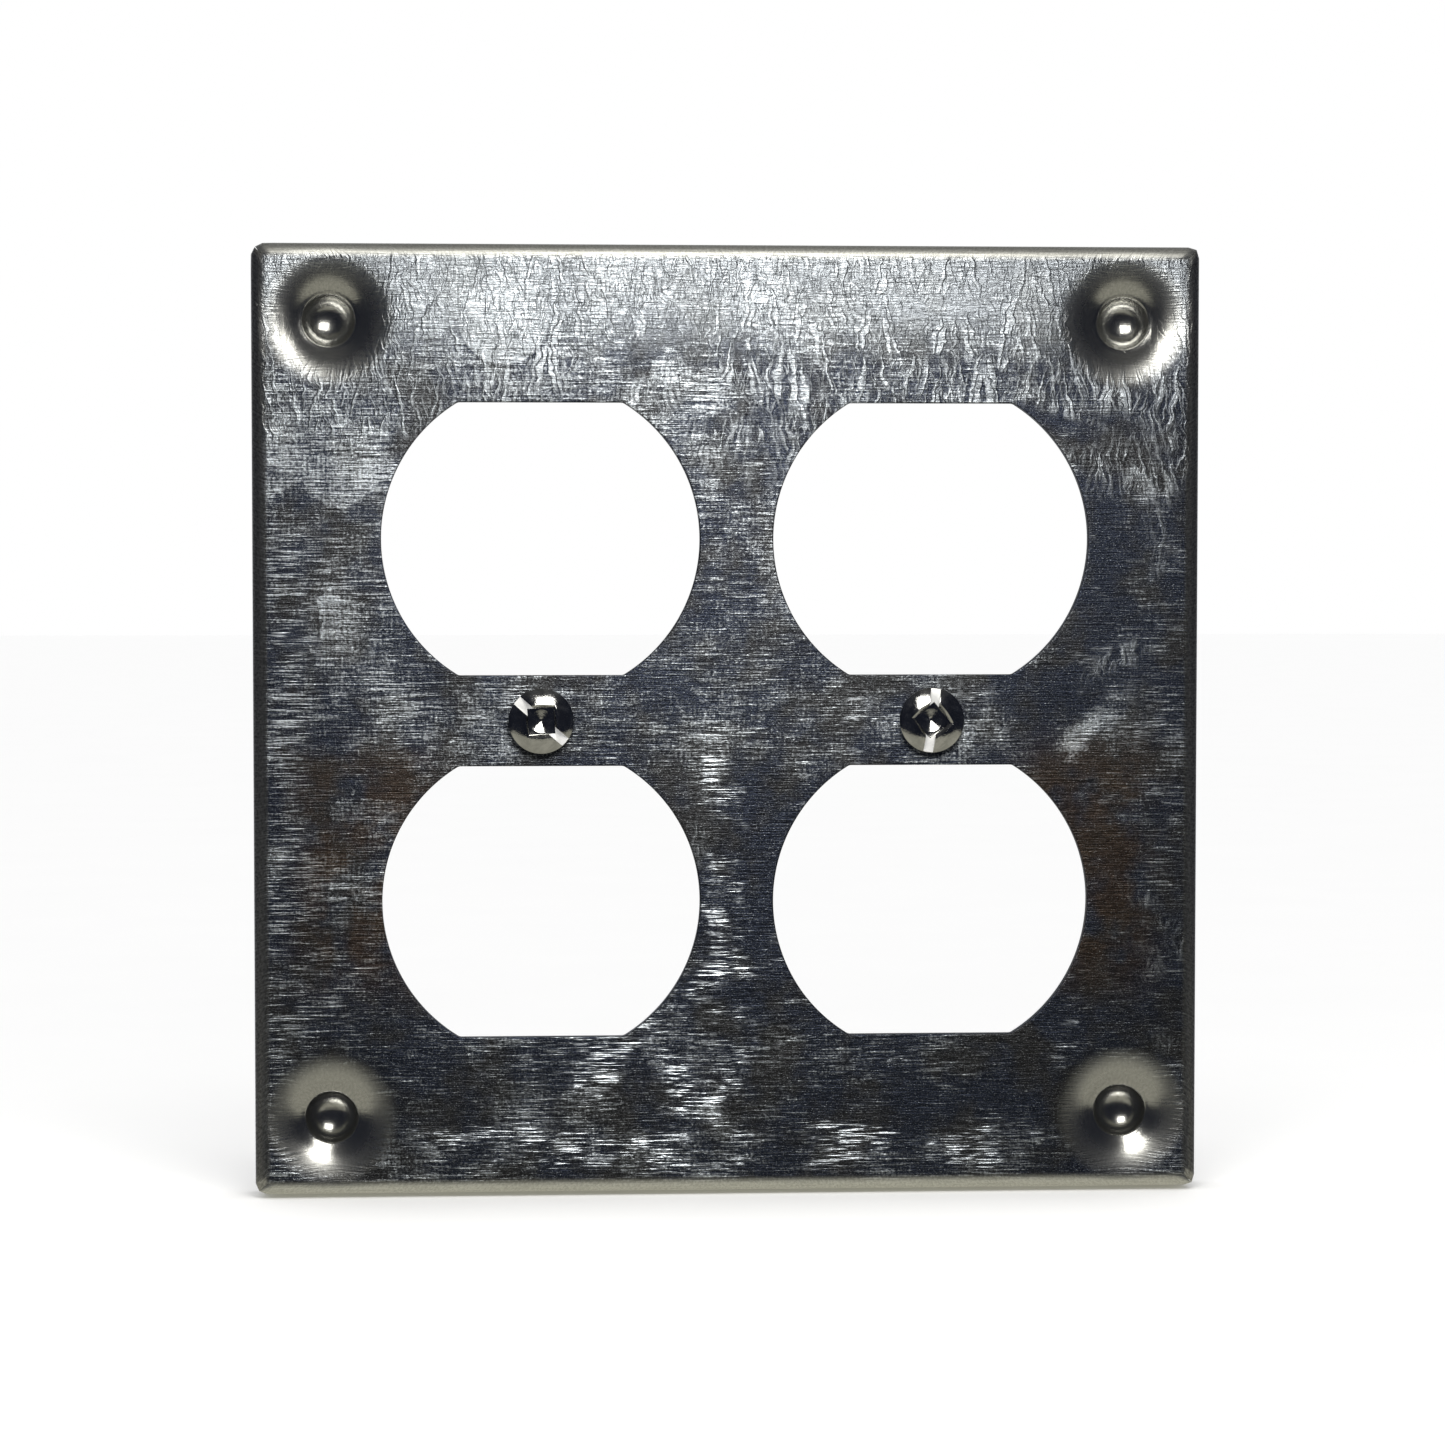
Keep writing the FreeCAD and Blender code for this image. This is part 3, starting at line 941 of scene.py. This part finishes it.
    def normal(self):
        """Fine relief, with the scratches tilted up so that their upper sides shine."""
        off_dimples = self.remap(self.pressed, 0, 1, 1.0, 0.10)
        plain = self.times(off_dimples, self.remap(self.bend_area, 0, 1, 1.0, 0.2))
        height = self.plus(self.lines, self.times(self.grain, 0.35), self.times(self.feathers, 0.5))
        inputs = {"Height": self.times(height, plain), "Distance": 0.00012, "Strength": 1.0}
        bump = self.add("ShaderNodeBump", inputs)
        shine = self.times(self.dashes, plain, self.remap(self.v, 20, -30, 0.1, 0.42))
        tilted = self.vector("ADD", bump, self.add("ShaderNodeCombineXYZ", {2: shine}))
        return self.vector("NORMALIZE", tilted)


def plated_material():
    """Bright zinc plate, matter on the floor of the slot and painted paler there as a painted highlight,
    with fine pits.
    """
    n = Surface("plated_screw")
    p = n.object_point()
    slot = n.add("ShaderNodeAttribute", output="Fac", attribute_name="slot_floor")
    smear = n.noise(p, 0.9, 4, 0.6, 0.5)
    colour = n.blend(n.remap(smear, 0.35, 0.7), (0.50, 0.50, 0.49, 1), (0.66, 0.66, 0.65, 1))
    # Painted highlight: the slot floor is painted pale, as if catching the light.
    n.put("Base Color", n.blend(slot, colour, (0.88, 0.88, 0.87, 1)))
    n.put("Metallic", n.remap(slot, 0, 1, 1.0, 0.35))
    n.put("Roughness", n.mix(slot, n.remap(smear, 0.3, 0.7, 0.07, 0.16), 0.45))
    pits = n.noise(p, 4.0, 3, 0.7)
    n.put("Normal", n.add("ShaderNodeBump", {"Height": pits, "Distance": 0.00002, "Strength": 0.5}))
    return n.material


def fibre_material():
    """Vulcanised fibre: reddish brown, mottled, with fine paper grain."""
    n = Surface("fibre_washer")
    p = n.object_point()
    mottle = n.noise(p, 1.1, 4, 0.6, 0.3)
    grain = n.noise(n.stretch(p, 6, 18, 6), 1.0, 3, 0.7)
    colour = n.blend(n.remap(mottle, 0.35, 0.65), (0.24, 0.07, 0.035, 1), (0.40, 0.15, 0.07, 1))
    colour = n.blend(n.times(n.remap(grain, 0.5, 0.7), 0.4), colour, (0.52, 0.24, 0.13, 1))
    n.put("Base Color", colour)
    n.put("Roughness", n.remap(grain, 0.3, 0.7, 0.55, 0.8))
    n.put("Normal", n.add("ShaderNodeBump", {"Height": grain, "Distance": 0.00003, "Strength": 0.6}))
    return n.material


def dress(piece, material, body, node):
    """Gives a piece its material and its place in the frame."""
    piece.data.materials.clear()
    piece.data.materials.append(material)
    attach(piece, body)
    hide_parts(node)


# ------------------------------------------------------------------ stage, light and camera

# The floor, its side in metres.
FLOOR_SIZE = 6
FLOOR_GAP = 0.4

# A reflector lies below the part and reaches out in front of it.
CARD_Z = -133.0
CARD_MIDDLE_Y = 35.0
CARD_LENGTH = 410.0
CARD_WIDTH = 700.0
CARD_COLOUR = (0.38, 0.37, 0.31, 1)

# What reflections show of the studio.
STUDIO_FRONT = (0.012, 0.014, 0.022, 1)
STUDIO_BACK = (0.30, 0.31, 0.33, 1)
STUDIO_TOP = (0.07, 0.07, 0.07, 1)

# The key light hangs above and in front of the face.
KEY_OFFSET = Vector((3, -112, 86))
KEY_WIDTH = 84
KEY_HEIGHT = 60
KEY_POWER = 0.121
KEY_COLOUR = (1.0, 0.98, 0.92)

# The camera stands a little left of the plate and a little above it.
CAMERA_DISTANCE = 400.0
CAMERA_AZIMUTH = -3.5
CAMERA_ELEVATION = 2.5
CAMERA_LENS = 92.7
AIM = Vector((-1.44, -5.0, -0.29))


def direction(azimuth, elevation):
    """Unit vector from the part towards a place at this azimuth and elevation."""
    a, e = math.radians(azimuth), math.radians(elevation)
    return Vector((math.sin(a) * math.cos(e), -math.cos(a) * math.cos(e), math.sin(e)))


def place_camera():
    data = bpy.data.cameras.new("camera")
    data.sensor_width = 36.0
    data.lens = CAMERA_LENS
    data.clip_start = 0.01
    camera = bpy.data.objects.new("camera", data)
    bpy.context.scene.collection.objects.link(camera)
    away = direction(CAMERA_AZIMUTH, CAMERA_ELEVATION)
    camera.location = (AIM + away * CAMERA_DISTANCE) * MM
    camera.rotation_mode = "QUATERNION"
    camera.rotation_quaternion = (-away).to_track_quat("-Z", "Y")
    bpy.context.scene.camera = camera


def place_key():
    data = bpy.data.lights.new("key", "AREA")
    data.shape = "RECTANGLE"
    data.size = KEY_WIDTH * MM
    data.size_y = KEY_HEIGHT * MM
    data.energy = KEY_POWER
    data.color = KEY_COLOUR
    light = bpy.data.objects.new("key", data)
    bpy.context.scene.collection.objects.link(light)
    light.location = (Vector((PLATE_CENTRE.x, FACE_Y, 0)) + KEY_OFFSET) * MM
    light.rotation_mode = "QUATERNION"
    light.rotation_quaternion = (-KEY_OFFSET).to_track_quat("-Z", "Y")


def place_floor():
    """A pale matt floor just below the part, left out of reflections."""
    bpy.ops.mesh.primitive_plane_add(size=FLOOR_SIZE, location=(0, 0, (PLATE_LOW.z - FLOOR_GAP) * MM))
    floor = bpy.context.object
    floor.name = "floor"
    n = Surface("pale_floor")
    grain = n.noise(n.add("ShaderNodeTexCoord", output="Object"), 40, 3)
    n.put("Base Color", n.blend(grain, (0.96, 0.96, 0.96, 1), (0.98, 0.98, 0.98, 1)))
    n.put("Roughness", 0.9)
    n.put("Specular IOR Level", 0.0)
    floor.data.materials.append(n.material)
    floor.visible_glossy = False


def place_card():
    """A warm olive reflector low in front, seen only in reflections."""
    bpy.ops.mesh.primitive_plane_add(size=1, location=(0, CARD_MIDDLE_Y * MM, CARD_Z * MM))
    card = bpy.context.object
    card.name = "reflector"
    card.scale = (CARD_WIDTH * MM, CARD_LENGTH * MM, 1)
    material = bpy.data.materials.new("reflector")
    material.use_nodes = True
    n = Nodes(material.node_tree)
    n.node("ShaderNodeOutputMaterial", {"Surface": n.add("ShaderNodeEmission", {"Color": CARD_COLOUR})})
    material.cycles.emission_sampling = "NONE"
    card.data.materials.append(material)
    card.visible_camera = False
    card.visible_diffuse = False
    card.visible_shadow = False


def build_world():
    """White to look at, and a dim studio in reflections, with soft light behind the part."""
    world = bpy.data.worlds.new("studio")
    bpy.context.scene.world = world
    world.use_nodes = True
    n = Nodes(world.node_tree)
    _, north, up = n.split(n.add("ShaderNodeTexCoord", output="Generated"))
    studio = n.blend(n.remap(north, 0.5, 0.95), STUDIO_FRONT, STUDIO_BACK)
    studio = n.blend(n.remap(up, 0.6, 1.0), studio, STUDIO_TOP)
    reflected = n.add("ShaderNodeLightPath", output="Is Glossy Ray")
    seen = n.blend(reflected, (1.0, 1.0, 1.0, 1), studio)
    n.node("ShaderNodeOutputWorld", {"Surface": n.add("ShaderNodeBackground", {"Color": seen})})


def main():
    dress(sheet_piece(), Galvanised().material, "cover", "cover_plate")
    plated = plated_material()
    fibre = fibre_material()
    for side in SIDES:
        dress(screw_piece(side), plated, f"screw_{side}", f"device_screw_{side}")
        dress(washer_piece(side), fibre, f"washer_{side}", f"retaining_washer_{side}")
    place_floor()
    place_card()
    build_world()
    place_key()
    place_camera()
    bpy.context.scene.view_settings.view_transform = "Standard"


main()
